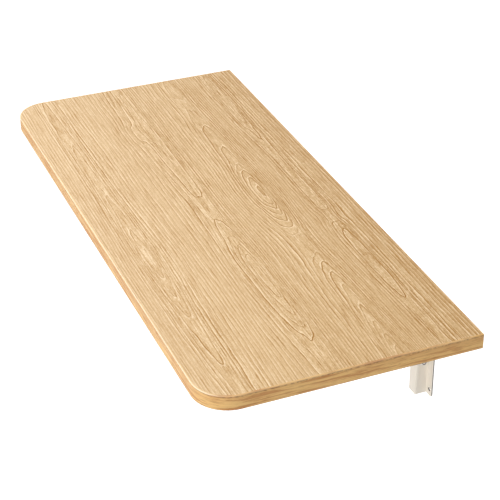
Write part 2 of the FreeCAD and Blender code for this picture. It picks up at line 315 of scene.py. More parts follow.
for name, lamp in LAMPS.items():
    data = bpy.data.lights.new(name, "AREA")
    data.shape = "DISK"
    data.size = lamp["size"]
    data.energy = lamp["power"]
    light = bpy.data.objects.new(name, data)
    light.location = lamp["place"]
    light.rotation_euler = Vector(lamp["place"]).to_track_quat("Z", "Y").to_euler()
    scene.collection.objects.link(light)
    print(name, "lamp", lamp["power"], "W,", lamp["size"], "m across")

# %% [markdown]
# A board's figure is a map: its lines are where the yearly rings meet the cut, like contour lines on
# a hillside. Across the board the rings climb and sink, and where they turn, along the crests, the
# lines close into nested points and eyes. So the figure is drawn as a height: one curve across the
# board gives its level, and along each crest a second curve lifts or sinks it to shape the eyes. That
# lift fades out on both sides of the crest, which is rounded a little, so that the points stay clear.
# Two soft noises let the lines waver. Curve nodes hold all of this as short lists of points, in
# millimetres and levels, and a level holds one and a half rings.

# %% Ring count of the oak figure
RINGS_A_LEVEL = 1.5
CREST_ROUND = 0.14
CREST_FADE = 1.25
WAVERS = [
    {"repeats": (3.0, 20.0, 0.0), "detail": 1.0, "levels": 1.6},
    {"repeats": (16.0, 90.0, 0.0), "detail": 2.0, "levels": 0.5},
]
ACROSS = [
    (-351, 5.5), (-321, 1.3), (-305, 0), (-289, 1.3), (-230, 8.4), (-205, 11), (-188, 11.8), (-176, 9.8),
    (-150, 5.5), (-128, 3), (-107, 1.5), (-97, 3.2), (-72, 7.5), (-60, 9), (-48, 10), (-38, 8.6), (0, 3.5)]
CRESTS = [
    {"y": -305, "front": 26, "wall": 26, "levels": [
        (400, -0.4), (365, -0.7), (315, -1.4), (235, -2.2), (180, -2.9), (130, -3.6), (85, -4.1),
        (30, -3.6), (-100, -2.9), (-250, -2.2), (-330, -1.5), (-400, -1)]},
    {"y": -210, "front": 18, "wall": 14, "levels": [
        (400, 0), (-170, 0), (-215, 0.5), (-247, 1.1), (-275, 0.6), (-330, 0), (-400, 0)]},
    {"y": -188, "front": 22, "wall": 10, "levels": [
        (400, 0), (330, 0.2), (300, 1), (240, 2), (205, 2.4), (160, 2.3), (120, 1.5), (100, 1),
        (60, 0.3), (0, 0), (-50, 0.4), (-120, 0.6), (-250, 0.8), (-400, 0.6)]},
    {"y": -107, "front": 36, "wall": 19, "levels": [
        (400, -6), (345, -4.4), (300, -3.1), (225, -1.8), (185, -0.8), (130, 0.2), (100, -0.1), (85, -0.8),
        (55, -2.1), (30, -3.2), (-15, -4.6), (-50, -3.9), (-82, -2.8), (-95, -2.2), (-140, -1.3),
        (-215, -0.6), (-290, 0.2), (-325, 0.1), (-350, -0.3), (-400, -0.1)]},
    {"y": -48, "front": 18, "wall": 12, "levels": [
        (400, 0), (362, -0.3), (335, 0), (305, 0.4), (270, 0.9), (210, 1.2), (150, 0.9), (115, 0.3),
        (95, -0.5), (80, -1.2), (60, -0.5), (35, 0.1), (0, 0.3), (-100, 0.2), (-190, 0.5), (-215, 1),
        (-260, 1.6), (-310, 1.9), (-360, 1.5), (-400, 1)]},
]


def plotted(wiring, value, points):
    """A smooth curve through (millimetres, level) points, read at a place in metres."""
    points = sorted(points)
    levels = [level for _, level in points]
    start, end = points[0][0], points[-1][0]
    low, high = min(levels), max(levels)
    shares = [((x - start) / (end - start), (level - low) / (high - low)) for x, level in points]
    sockets = {"Value": value, "From Min": start * MM, "From Max": end * MM}
    curve = wiring.node("FloatCurve", {"Value": wiring.node("MapRange", sockets).outputs[0]})
    spline = curve.mapping.curves[0]
    for share in shares[1:-1]:
        spline.points.new(*share)
    spline.points[0].location = shares[0]
    spline.points[-1].location = shares[-1]
    curve.mapping.update()
    return wiring.total(wiring.product(curve.outputs[0], high - low), low)


def count_rings(wiring, given):
    place = given["Vector"]
    x, y = wiring.node("SeparateXYZ", {0: place}).outputs[:2]
    levels = [plotted(wiring, y, ACROSS)]
    for crest in CRESTS:
        offset = wiring.math("SUBTRACT", y, crest["y"] * MM)
        to_wall = wiring.math("DIVIDE", offset, crest["wall"] * MM)
        to_front = wiring.math("DIVIDE", offset, -crest["front"] * MM)
        reach = wiring.math("MAXIMUM", to_wall, to_front)
        rounded = wiring.math("SQRT", wiring.math("MULTIPLY_ADD", reach, reach, CREST_ROUND ** 2))
        fade = wiring.math("EXPONENT", wiring.product(rounded, -CREST_FADE))
        levels.append(wiring.product(fade, plotted(wiring, x, crest["levels"])))
    for waver in WAVERS:
        noise = wiring.noise(place, waver["repeats"], detail=waver["detail"])
        levels.append(wiring.product(noise, waver["levels"]))
    return {"Rings": wiring.product(wiring.total(*levels), RINGS_A_LEVEL)}


ring_count = new_group("oak_ring_count", ["Vector"], count_rings)
print("Oak figure:", len(CRESTS), "crests,", sum(len(c["levels"]) for c in CRESTS), "points")

# %% [markdown]
# Contour lines drawn straight from the count would swell wherever the hillside is flat, and real ring
# lines do not: they stay about a millimetre wide. Dividing by the slope cures that. The count is read
# three times, at the place itself and a small step along each way, which gives the slope, and then the
# distance to the nearest ring in true millimetres. A least slope keeps level ground from dividing by
# nothing.

# %% Distance to the nearest ring
STEP = 0.4 * MM
LEAST_SLOPE = 0.004


def nearest_ring(wiring, given):
    counts = []
    for step in ((0.0, 0.0, 0.0), (STEP, 0.0, 0.0), (0.0, STEP, 0.0)):
        place = wiring.vector("ADD", given["Vector"], step)[0]
        counts.append(wiring.node("Group", {"Vector": place}, node_tree=ring_count).outputs["Rings"])
    rises = [wiring.math("SUBTRACT", count, counts[0]) for count in counts[1:]]
    square = wiring.total(*[wiring.product(rise, rise) for rise in rises])
    slope = wiring.math("MAXIMUM", wiring.math("SQRT", square), LEAST_SLOPE)
    spacing = wiring.math("DIVIDE", STEP, slope)
    past = wiring.math("SUBTRACT", counts[0], wiring.math("ROUND", counts[0]))
    return {"Offset": wiring.product(past, spacing), "Spacing": spacing, "Rings": counts[0]}


ring_distance = new_group("oak_ring_distance", ["Vector"], nearest_ring)

# %% [markdown]
# From that distance come the lines that make oak look like oak: a dark line of open pores where each
# year's growth starts, and a paler line beside it. No two years are alike, so chance gives each ring a
# strength of its own, and soft patches break the lines up. Lines weaken where they crowd and gain where
# they lie open, and the large eye near the middle of the board is the strongest.

# %% Ring lines
LINE_CORE = 0.1 * MM
LINE_EDGE = 1.2 * MM
PALE_BESIDE = 1.6 * MM
CROWDED = (1.2 * MM, 3.5 * MM)
OPEN = (5.0 * MM, 9.0 * MM)
PATCHES = (18.0, 110.0, 110.0)
PATCH_PLACE = (0.21, 0.053, 0.0)
EYE_PLACE = (-20.0 * MM, -110.0 * MM, 0.0)
EYE_SCALE = (1 / (125.0 * MM), 1 / (36.0 * MM), 0.0)


def line_strength(wiring, given):
    """How strongly the ring nearest to a place is printed there."""
    year = wiring.math("ROUND", given["Rings"])
    chance = wiring.node("TexWhiteNoise", {"W": year}, noise_dimensions="1D").outputs["Value"]
    own = wiring.ease(chance, 0.0, 1.0, 0.45, 1.0)
    patches = wiring.stretch(given["Vector"], PATCHES, PATCH_PLACE)
    patchy = wiring.ease(wiring.noise(patches, detail=3.0, roughness=0.65), 0.32, 0.62, 0.62, 1.04)
    crowded = wiring.ease(given["Spacing"], *CROWDED, 0.38, 0.95)
    opened = wiring.ease(given["Spacing"], *OPEN, 0.0, 0.45)
    from_eye = wiring.stretch(given["Vector"], EYE_SCALE, EYE_PLACE)
    reach = wiring.vector("LENGTH", from_eye)["Value"]
    eye = wiring.ease(reach, 0.4, 1.0, 1.55, 1.0)
    spaced = wiring.product(wiring.total(crowded, opened), eye)
    return wiring.product(own, patchy, spaced)


def soft_line(wiring, offset, strength):
    """A line about a millimetre wide where the offset is nothing."""
    away = wiring.math("ABSOLUTE", offset)
    return wiring.product(wiring.ease(away, LINE_CORE, LINE_EDGE, 1.0, 0.0), strength)


print("Ring lines fade out", round(LINE_EDGE / MM, 1), "mm from their middle")

# %% [markdown]
# Between the lines lie fine fibres, which follow the rings, and short pore strokes, which run straight
# along the board. A board is livelier in some bands than in others, so one more curve across it sets
# how much all of this shows. The tone shifts slowly in long clouds. The tone also carries painted
# light: a painted sheen makes the board paler towards the front, and painted shade makes it darkest at
# the wall, where the dark mask adds a darker rim too. The group gives masks for dark and pale, the tone
# and one height.

# %% Oak grain group
LIVELY = [
    (-351, 0.75), (-335, 0.75), (-305, 1.2), (-278, 0.95), (-250, 0.75), (-220, 0.85), (-190, 1.3),
    (-160, 0.8), (-130, 0.9), (-103, 1.05), (-74, 0.75), (-44, 1.35), (-15, 0.9), (0, 0.9)]
FIBRES = (10.0, 1.7, 170.0)
GRAINS = (300.0, 620.0, 620.0)
FIBRE_SHARE = 0.56
FIBRE_DARK = (0.49, 0.37)
FIBRE_PALE = (0.51, 0.63)
STROKES = (34.0, 800.0, 800.0)
STROKE_DARK = (0.56, 0.68)
STROKE_PALE = (0.44, 0.32)
CLOUDS = (1.6, 13.0, 13.0)
# Spans from the wall where shade is painted into the tone and the dark mask.
WALL_SHADE_STRIP = (-24.0 * MM, -14.0 * MM)
WALL_SHADE_RIM = (-7.0 * MM, -2.0 * MM)
DARKNESS = {"line": 0.70, "fibre": 0.29, "pore": 0.40}
PALENESS = 0.55


def oak_grain(wiring, given):
    place = given["Vector"]
    x, y = wiring.node("SeparateXYZ", {0: place}).outputs[:2]
    strength = line_strength(wiring, given)
    line = soft_line(wiring, given["Offset"], strength)
    pale_line = soft_line(wiring, wiring.math("SUBTRACT", given["Offset"], PALE_BESIDE), strength)

    flow = wiring.node("CombineXYZ", {0: x, 1: given["Rings"], 2: y}).outputs[0]
    fibre = wiring.noise(flow, FIBRES, detail=3.0, roughness=0.72)
    grains = wiring.noise(place, GRAINS, detail=1.0)
    mixed = wiring.total(wiring.product(fibre, FIBRE_SHARE), wiring.product(grains, 1 - FIBRE_SHARE))
    dark_fibre = wiring.ease(mixed, *FIBRE_DARK)
    pale_fibre = wiring.ease(mixed, *FIBRE_PALE)
    strokes = wiring.noise(place, STROKES, detail=1.0)
    pores = wiring.ease(strokes, *STROKE_DARK)
    glints = wiring.ease(strokes, *STROKE_PALE)
    clouds = wiring.noise(place, CLOUDS, detail=2.0)

    lively = plotted(wiring, y, LIVELY)
    even = wiring.ease(y, FRONT, 0.0, 0.9, 1.15)
    marks = {"line": line, "fibre": dark_fibre, "pore": pores}
    printed = [wiring.product(marks[name], share) for name, share in DARKNESS.items()]
    dark = wiring.product(wiring.total(*printed), even, lively)
    light = wiring.total(pale_line, *[wiring.product(part, PALENESS) for part in (pale_fibre, glints)])
    # Painted sheen: the tone is paler towards the front, as if the lamps' sheen lay there.
    front_sheen = wiring.ease(y, FRONT, 0.0, 0.38, 0.25)
    # Painted shade: the tone is darker in a strip along the wall.
    wall_shade = wiring.ease(y, *WALL_SHADE_STRIP, 0.0, -0.26)
    low = wiring.total(line, pores, wiring.product(dark_fibre, 0.8))
    height = wiring.math("SUBTRACT", wiring.product(light, 0.5), low)
    # Painted shade: the dark mask gets a darker rim along the wall.
    return {
        "Dark": wiring.total(dark, wiring.ease(y, *WALL_SHADE_RIM, 0.0, 0.22)),
        "Pale": wiring.product(light, lively),
        "Tone and light": wiring.total(wiring.product(clouds, 0.46), front_sheen, wall_shade),
        "Height": wiring.product(height, lively),
    }


grain = new_group("oak_grain", ["Vector", "Offset", "Spacing", "Rings"], oak_grain)

# %% [markdown]
# The leaf's faces are a printed and lightly embossed melamine: satin, warm and quite even, with the
# grain pressed in by about a tenth of a millimetre. The colour mixes from pale to mid to dark oak by
# the masks, and the grain's own height drives the bump, so the emboss follows the print.

# %% Oak laminate
OAK_DEEP = srgb(195, 156, 102)
OAK_MID = srgb(220, 186, 136)
OAK_PALE = srgb(238, 210, 168)
OAK_LINE = srgb(160, 110, 24)
EMBOSS = 0.12 * MM


def oak_laminate(wiring, place):
    sockets = {"Vector": place}
    nearest = wiring.node("Group", sockets, node_tree=ring_distance).outputs
    for name in ("Offset", "Spacing", "Rings"):
        sockets[name] = nearest[name]
    oak = wiring.node("Group", sockets, node_tree=grain).outputs
    base = wiring.blend(wiring.ease(oak["Tone and light"], 0.2, 0.9), OAK_DEEP, OAK_MID)
    paler = wiring.blend(wiring.product(oak["Pale"], 0.8), base, OAK_PALE)
    return {
        "Base Color": wiring.blend(oak["Dark"], paler, OAK_LINE),
        "Roughness": wiring.ease(oak["Dark"], 0.0, 1.0, 0.44, 0.62),
        "Normal": wiring.bump(oak["Height"], 0.55, EMBOSS),
    }


new_finish(oak_laminate)

# %% [markdown]
# The edge band is the same print on a strip, so its grain always runs along the edge: lengthways on
# the front, sideways on the ends, and round the corners between. Noise that hardly changes over the
# floor plan but quickly with height gives just that, with no map to unwrap. Nearly all of a noise lies
# between 0.3 and 0.7, so that span is what a finish spreads over its two shades.
#
# A cutter has rounded the band's rim, which shows the strip's pale body as a thin light line. A painted
# highlight lies on it as well: it is brightest along the front, which faces the key lamp, and weak on the
# ends. Under it the print is ragged and ends in a broken dark line, which the painted highlight makes
# faint along the front, so it is strongest at the corners and ends. There is also painted shade along the
# bottom of the band. The strip at the wall is cut square, and its rim is painted brown as the shade there.

# %% Oak edging
NOISE_SPAN = (0.3, 0.7)
STRIP_DEEP = srgb(208, 160, 97)
STRIP_MID = srgb(229, 186, 117)
STRIP_STREAK = srgb(178, 110, 52)
STRIP_PORE = srgb(146, 94, 30)
STRIP_TORN = srgb(124, 76, 26)
RIM_BODY_AND_HIGHLIGHT = srgb(244, 223, 186)
RIM_WALL_SHADE = srgb(182, 142, 92)
TORN_START = (0.6 * MM, 1.1 * MM)
TORN_STOP = (1.6 * MM, 3.6 * MM)
BOTTOM_SHADE_SPAN = (THICKNESS - 1.6 * MM, THICKNESS - 0.6 * MM)
RIM_START = (0.02 * MM, 0.12 * MM)
RIM_STOP = (0.6 * MM, 2.2 * MM)
STREAKS = (17.0, 17.0, 360.0)
SHADES = (3.0, 3.0, 60.0)
PORES = (70.0, 70.0, 1500.0)
DASHES = (210.0, 210.0, 420.0)
SEAM_FADE_UNDER_HIGHLIGHT = (HALF_LENGTH - 50.0 * MM, HALF_LENGTH - 15.0 * MM)
HIGHLIGHT_FADE_AT_ENDS = (HALF_LENGTH - 20.0 * MM, HALF_LENGTH - 2.0 * MM)
RIM_SHADE_NEAR_WALL = (-20.0 * MM, -10.0 * MM)


def torn_line(wiring, place, depth, along):
    """The ragged dark line under the rim, faint where the painted highlight lies, and the painted shade
    along the bottom.
    """
    dashes = wiring.noise(place, DASHES, detail=4.0, roughness=0.6)
    line = wiring.product(wiring.ease(depth, *TORN_START), wiring.ease(depth, *TORN_STOP, 1.0, 0.0))
    # Painted highlight: the dark line is faint along the front, where the highlight lies over it.
    faded_under_highlight = wiring.ease(along, *SEAM_FADE_UNDER_HIGHLIGHT, 0.25, 1.0)
    ragged = wiring.product(line, faded_under_highlight, wiring.ease(dashes, 0.40, 0.60))
    # Painted shade along the bottom of the band.
    return wiring.math("MAXIMUM", wiring.product(ragged, 0.8), wiring.ease(depth, *BOTTOM_SHADE_SPAN, 0.0, 0.4))


def oak_edging(wiring, place):
    x, y, z = wiring.node("SeparateXYZ", {0: place}).outputs
    along = wiring.math("ABSOLUTE", x)
    depth = wiring.math("SUBTRACT", TOP, z)

    streak = wiring.noise(place, STREAKS, detail=4.0, roughness=0.66, distortion=0.5)
    shade = wiring.noise(place, SHADES, detail=2.0)
    pores = wiring.noise(place, PORES, detail=1.0)
    base = wiring.blend(wiring.ease(shade, *NOISE_SPAN), STRIP_DEEP, STRIP_MID)
    lined = wiring.blend(wiring.ease(streak, 0.46, 0.62, 0.0, 0.72), base, STRIP_STREAK)
    pored = wiring.blend(wiring.ease(pores, 0.58, 0.70, 0.0, 0.5), lined, STRIP_PORE)
    torn = wiring.blend(torn_line(wiring, place, depth, along), pored, STRIP_TORN)

    upper = wiring.ease(depth, *RIM_STOP, 1.0, 0.0)
    rounding = wiring.product(upper, wiring.ease(depth, *RIM_START, 0.35, 1.0))
    # The pale rim is partly the strip's pale body and partly a painted highlight, strong on the front and
    # weak on the ends.
    shown = wiring.product(rounding, wiring.ease(along, *HIGHLIGHT_FADE_AT_ENDS, 0.95, 0.2))
    # Painted shade: along the wall the rim turns brown.
    rim = wiring.blend(wiring.ease(y, *RIM_SHADE_NEAR_WALL), RIM_BODY_AND_HIGHLIGHT, RIM_WALL_SHADE)
    return {
        "Base Color": wiring.blend(shown, torn, rim),
        "Roughness": wiring.ease(streak, *NOISE_SPAN, 0.42, 0.58),
        "Normal": wiring.bump(streak, 0.4, 0.1 * MM),
    }


new_finish(oak_edging)

# %% [markdown]
# The brackets are powder coated: the paint is baked on as dust, so it is thick, warm white, satin
# and faintly pebbled like orange peel. Two noises make it: a fine one for the pebble in the bump and
# a broad one that shifts the tint and gloss a little from place to place. Shade is painted in two
# places: the wall holes are painted dark inside, and the ends of the leg's flanges are painted grey, as
# the seam at the wall is in shade. Both are found by place, as distances from the nearer bracket's middle.

# %% White powder coat
POWDER_DULL = srgb(234, 226, 212)
POWDER_CLEAR = srgb(243, 235, 222)
EDGE_SHADE_GREY = srgb(150, 146, 140)
HOLE_SHADE = srgb(62, 54, 48)
SHADED_EDGE_OUT = LEG_HIGH.x - BRACKET - 0.1 * MM
BORED = WALL_HOLE + 0.05 * MM


def white_steel(wiring, place):
    broad = wiring.noise(place, scale=38.0, detail=3.0)
    pebble = wiring.noise(place, scale=1300.0, detail=2.0)
    white = wiring.blend(broad, POWDER_DULL, POWDER_CLEAR)

    spot = wiring.node("SeparateXYZ", {0: place}).outputs
    out = wiring.math("ABSOLUTE", wiring.math("SUBTRACT", wiring.math("ABSOLUTE", spot["X"]), BRACKET))
    # Painted shade: the flange ends are painted grey, as the seam at the wall is in shade.
    edge_shaded = wiring.blend(wiring.math("GREATER_THAN", out, SHADED_EDGE_OUT), white, EDGE_SHADE_GREY)
    # Painted shade: the wall holes are painted dark inside.
    beside = wiring.math("SUBTRACT", out, WALL_HOLE_OUT)
    above = wiring.math("SUBTRACT", wiring.math("ABSOLUTE", spot["Z"]), WALL_HOLE_UP)
    away = wiring.node("CombineXYZ", {0: beside, 1: above}).outputs[0]
    hole_shaded = wiring.math("LESS_THAN", wiring.vector("LENGTH", away)["Value"], BORED)
    return {
        "Base Color": wiring.blend(hole_shaded, edge_shaded, HOLE_SHADE),
        "Roughness": wiring.ease(broad, *NOISE_SPAN, 0.34, 0.46),
        "Normal": wiring.bump(pebble, 0.25, 0.05 * MM),
    }


new_finish(white_steel)

# %% [markdown]
# Small bare metal comes in two kinds. Pins, rivets and screws are zinc plated: grey, half bright and
# slightly cloudy, with shade painted dark into the ring that the punch leaves in a rivet's head. The ring
# is found by its distance from the rivet's axle. The catch is spring steel: darker, with fine lines along
# the strip from rolling.

# %% Zinc plate and spring steel
PUNCH_RING = 2.25 * MM
GROOVE_SHADE_EDGE = (0.35 * MM, 0.55 * MM)
ROLLED = (2600.0, 30.0, 2600.0)


def zinc_steel(wiring, place):
    cloud = wiring.noise(place, scale=420.0, detail=4.0, roughness=0.6)
    plate = wiring.blend(cloud, srgb(178, 176, 172), srgb(220, 218, 214))
    y, z = wiring.node("SeparateXYZ", {0: place}).outputs[1:]
    flat = wiring.node("CombineXYZ", {1: y, 2: z}).outputs[0]
    # Painted shade: each rivet's punch groove is darkened, found by its distance from the axle.
    rings = []
    for axle in (PIVOT, SPACER, AXLE):
        away = wiring.vector("DISTANCE", flat, (0.0, axle.y, axle.z))["Value"]
        off = wiring.math("ABSOLUTE", wiring.math("SUBTRACT", away, PUNCH_RING))
        rings.append(wiring.ease(off, *GROOVE_SHADE_EDGE, 0.8, 0.0))
    return {
        "Base Color": wiring.blend(wiring.total(*rings), plate, srgb(58, 52, 46)),
        "Roughness": wiring.ease(cloud, *NOISE_SPAN, 0.28, 0.46),
        "Metallic": 1.0,
        "Normal": wiring.bump(cloud, 0.2, 0.03 * MM),
    }


def spring_steel(wiring, place):
    lines = wiring.noise(place, ROLLED, detail=2.0)
    cloud = wiring.noise(place, scale=160.0, detail=3.0)
    shade = wiring.total(wiring.product(lines, 0.6), wiring.product(cloud, 0.4))
    return {
        "Base Color": wiring.blend(shade, srgb(104, 106, 110), srgb(158, 160, 164)),
        "Roughness": wiring.ease(lines, *NOISE_SPAN, 0.26, 0.44),
        "Metallic": 1.0,
        "Normal": wiring.bump(lines, 0.25, 0.02 * MM),
    }


new_finish(zinc_steel)
new_finish(spring_steel)

# %% [markdown]
# The rollers are natural nylon, slightly milky, so a little light goes into them. The core of the
# leaf is particle board: chips of many browns pressed flat, which cells of a Voronoi pattern give.

# %% Nylon and particle board
CHIPS = (260.0, 260.0, 900.0)


def nylon(wiring, place):
    cloud = wiring.noise(place, scale=240.0, detail=3.0)
    return {
        "Base Color": wiring.blend(cloud, srgb(222, 218, 206), srgb(238, 235, 226)),
        "Roughness": wiring.ease(cloud, *NOISE_SPAN, 0.38, 0.52),
        "Subsurface Weight": 0.15,
        "Subsurface Scale": 1.0 * MM,
        "Normal": wiring.bump(cloud, 0.15, 0.05 * MM),
    }


def particle_board(wiring, place):
    chips = wiring.node("TexVoronoi", {"Vector": wiring.stretch(place, CHIPS), "Scale": 1.0})
    shade = wiring.node("SeparateColor", {0: chips.outputs["Color"]}).outputs[0]
    return {
        "Base Color": wiring.blend(shade, srgb(150, 116, 78), srgb(204, 172, 128)),
        "Roughness": wiring.ease(shade, 0.0, 1.0, 0.75, 0.92),
        "Normal": wiring.bump(chips.outputs["Distance"], 0.6, 0.4 * MM),
    }


new_finish(nylon)
new_finish(particle_board)

# %% [markdown]
# The leaf is five plain boards and bands, and their CAD shapes are already right: the rounded front
# corners and the softened rim of the band are in the frame. So they only get their finishes.

# %% Dress the leaf
LEAF_FINISH = {
    "table_core": "particle_board",
    "top_laminate": "oak_laminate",
    "bottom_laminate": "oak_laminate",
    "edge_band_front": "oak_edging",
    "edge_band_back": "oak_edging",
}

for name, finish in LEAF_FINISH.items():
    nodes[name].data.materials.clear()
    nodes[name].data.materials.append(finishes[finish])
print("Dressed the leaf:", len(LEAF_FINISH), "nodes")

# %% [markdown]
# The brackets are another matter. CAD gives them knife edges, and real pressed steel has none: its
# cut edges are deburred and the paint lies round over them. So each bracket piece is modelled again,
# as the workshop makes it. Both brackets are alike, so the right one is modelled at its place, and a
# copy goes to the left.
#
# Modelling by hand goes through the same few moves again and again: pick some edges, pull them out,
# fold or round them, drill, deburr. Each move gets a short function. Operators act on whatever is
# selected, so picking always starts by selecting nothing, and then picks by place.

# %% Moves on a sheet
CLOSE = 0.01 * MM
FOLD_OUTSIDE = 2.5 * MM
FOLD_INSIDE = 0.5 * MM
FOLD_STEPS = 5


def same(a, b):
    return abs(a - b) < CLOSE


def settle():
    """Puts the place, turn and size of what is selected into its mesh."""
    bpy.ops.object.transform_apply(location=True, rotation=True, scale=True)


def sheet(name, place, size, turn=(0, 0, 0)):
    """Lays down a plane of this size, with nothing else selected, and starts to edit it."""
    bpy.ops.object.select_all(action="DESELECT")
    bpy.ops.mesh.primitive_plane_add(size=1, location=place, rotation=turn)
    piece = bpy.context.active_object
    piece.name = name
    piece.data.name = name
    piece.scale = (*size, 1.0)
    settle()
    bpy.ops.object.mode_set(mode="EDIT")
    return piece


def pick_all():
    bpy.ops.mesh.select_all(action="SELECT")


def pick(piece, kind, test):
    """Selects the vertices or edges whose middle passes a test."""
    bpy.ops.mesh.select_mode(type=kind)
    bpy.ops.mesh.select_all(action="DESELECT")
    mesh = bmesh.from_edit_mesh(piece.data)
    for part in mesh.verts if kind == "VERT" else mesh.edges:
        corners = [part] if kind == "VERT" else list(part.verts)
        middle = sum((corner.co for corner in corners), Vector()) / len(corners)
        if test(middle):
            part.select_set(True)
    mesh.select_flush_mode()
    bmesh.update_edit_mesh(piece.data)


def pull(x, y, z):
    """Extrudes what is selected."""
    bpy.ops.mesh.extrude_region_move(TRANSFORM_OT_translate={"value": (x, y, z)})


def fold(piece, radius, test):
    """Rounds the sheet's edges that pass a test into bends."""
    pick(piece, "EDGE", test)
    bpy.ops.mesh.bevel(offset=radius, segments=FOLD_STEPS, affect="EDGES", clamp_overlap=False)


def trim(piece, radius, steps, test):
    """Rounds the sheet's corners that pass a test, seen square on."""
    pick(piece, "VERT", test)
    bpy.ops.mesh.bevel(offset=radius, segments=steps, affect="VERTICES", clamp_overlap=False)


print("Folds have", FOLD_STEPS, "steps, and outside a radius of", round(FOLD_OUTSIDE / MM, 1), "mm")

# %% [markdown]
# Once the sheet has its shape, modifiers do the rest: one gives it thickness, one cuts the holes and
# one rounds the rims. Each is applied at once, so that the next move works on real faces.

# %% Moves on a solid
DRILL_SIDES = 36
BURR_ANGLE = math.radians(40)
BURR_STEPS = 2


def apply(piece, kind, **settings):
    """Adds a modifier to a piece and applies it."""
    bpy.context.view_layer.objects.active = piece
    modifier = piece.modifiers.new(kind.lower(), kind)
    for name, value in settings.items():
        setattr(modifier, name, value)
    bpy.ops.object.modifier_apply(modifier=modifier.name)


def thicken(piece, thickness):
    """Ends editing and gives the sheet its thickness, on the side that its faces turn away from."""
    bpy.ops.object.mode_set(mode="OBJECT")
    apply(piece, "SOLIDIFY", thickness=thickness, offset=-1.0, use_even_offset=True)


def drill(piece, start, end, radius):
    """Cuts a round hole from one point to another."""
    start, end = Vector(start), Vector(end)
    turn = (end - start).to_track_quat("Z", "Y").to_euler()
    middle = (start + end) / 2
    depth = (end - start).length
    bpy.ops.mesh.primitive_cylinder_add(
        vertices=DRILL_SIDES, radius=radius, depth=depth, location=middle, rotation=turn)
    bit = bpy.context.active_object
    apply(piece, "BOOLEAN", object=bit, operation="DIFFERENCE", solver="EXACT")
    bpy.data.objects.remove(bit)


def drill_across(piece, axle, radius, start, end):
    """Cuts a hole along an axle, from one place along the wall to another."""
    drill(piece, (start, axle.y, axle.z), (end, axle.y, axle.z), radius)


def deburr(piece, width):
    """Takes the sharpness off every rim."""
    apply(piece, "BEVEL", width=width, segments=BURR_STEPS, limit_method="ANGLE",
          angle_limit=BURR_ANGLE, use_clamp_overlap=False)


print("Holes have", DRILL_SIDES, "sides")

# %% [markdown]
# A finished piece is handed over. It is smoothed, painted and copied to the left bracket. Then each of
# the two takes the place of a CAD node and rides on that node's body, so that it moves with the joints.

# %% Handing over
SMOOTH_ANGLE = math.radians(35)


def choose(*pieces):
    """Selects these pieces and nothing else, and makes the first one active."""
    bpy.ops.object.select_all(action="DESELECT")
    for piece in pieces:
        piece.select_set(True)
    bpy.context.view_layer.objects.active = pieces[0]


def moved_copy(piece, x=0.0, y=0.0):
    """A copy with its own mesh, moved along the wall or away from it."""
    choose(piece)
    bpy.ops.object.duplicate()
    bpy.ops.transform.translate(value=(x, y, 0))
    settle()
    return bpy.context.active_object


def joined(*pieces):
    """Several pieces as one."""
    choose(*pieces)
    bpy.ops.object.join()
    return pieces[0]


def hand_over(piece, stem, finish, body, node, right="right", left="left"):
    """Smooths and paints a piece, copies it to the left bracket, and puts both in place of CAD nodes."""
    choose(piece)
    bpy.ops.object.shade_smooth_by_angle(angle=SMOOTH_ANGLE)
    piece.data.materials.append(finishes[finish])
    twin = moved_copy(piece, TO_LEFT)
    for made, side, word in ((piece, "right", right), (twin, "left", left)):
        made.name = f"{stem}_{word}"
        made.data.name = made.name
        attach(made, body.format(side=side))
        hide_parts(f"{node}_{word}")
    bpy.ops.object.select_all(action="DESELECT")
    size = [round(v / MM, 2) for v in piece.dimensions]
    print(stem, "is", size, "mm with", len(piece.data.polygons), "faces")


print("The brackets stand", round(-TO_LEFT, 4), "m apart")

# %% [markdown]
# The wall leg is a hat section: one strip of sheet with a ridge down its middle, folded four times.
# A CAD style outline could be extruded, but a sheet is easier to fold as a shop does it: start with
# the ridge's face, pull a side and a flange out of each of its edges, round the folds, then thicken
# the sheet inwards. The wall holes and the bores for hinge pin and pivot follow, and all rims are
# deburred.

# %% Hat legs
LEG_WIDTH = 18.0 * MM
FLANGE_CORNER = 4.0 * MM
LEG_HOLES = [(PIN, 3.0 * MM), (PIVOT, 2.3 * MM)]
SHEET_BURR = 0.3 * MM


def hat_leg():
    low, high = LEG_LOW, LEG_HIGH
    ridge = low.y
    flange = high.y - SHEET
    half = LEG_WIDTH / 2
    place = (BRACKET, ridge, (low.z + high.z) / 2)
    leg = sheet("hat_leg", place, (LEG_WIDTH, high.z - low.z), turn=(math.pi / 2, 0, 0))
    for side, rim in ((BRACKET - half, low.x), (BRACKET + half, high.x)):
        pick(leg, "EDGE", lambda m: same(m.x, side) and same(m.y, ridge))
        pull(0, flange - ridge, 0)
        pull(rim - side, 0, 0)
    trim(leg, FLANGE_CORNER, steps=6, test=lambda m: same(m.x, low.x) or same(m.x, high.x))
    fold(leg, FOLD_OUTSIDE, lambda m: same(abs(m.x - BRACKET), half) and same(m.y, ridge))
    fold(leg, FOLD_INSIDE, lambda m: same(abs(m.x - BRACKET), half) and same(m.y, flange))
    thicken(leg, SHEET)
    for x in (BRACKET - WALL_HOLE_OUT, BRACKET + WALL_HOLE_OUT):
        for z in (-WALL_HOLE_UP, WALL_HOLE_UP):
            drill(leg, (x, flange - SHEET, z), (x, high.y + SHEET, z), WALL_HOLE)
    for axle, radius in LEG_HOLES:
        drill_across(leg, axle, radius, BRACKET - LEG_WIDTH, BRACKET + LEG_WIDTH)
    deburr(leg, SHEET_BURR)
    return leg


hand_over(hat_leg(), "hat_leg", "white_steel", "wall_side", "wall_leg")

# %% [markdown]
# The arm is a channel that is open below, screwed up against the leaf. It is folded from one strip
# too: the top, with a side pulled down from each long edge. The heel is rounded about the hinge pin,
# so that it clears the wall, and the nose is cut off at a slant, which bisect does in one go.

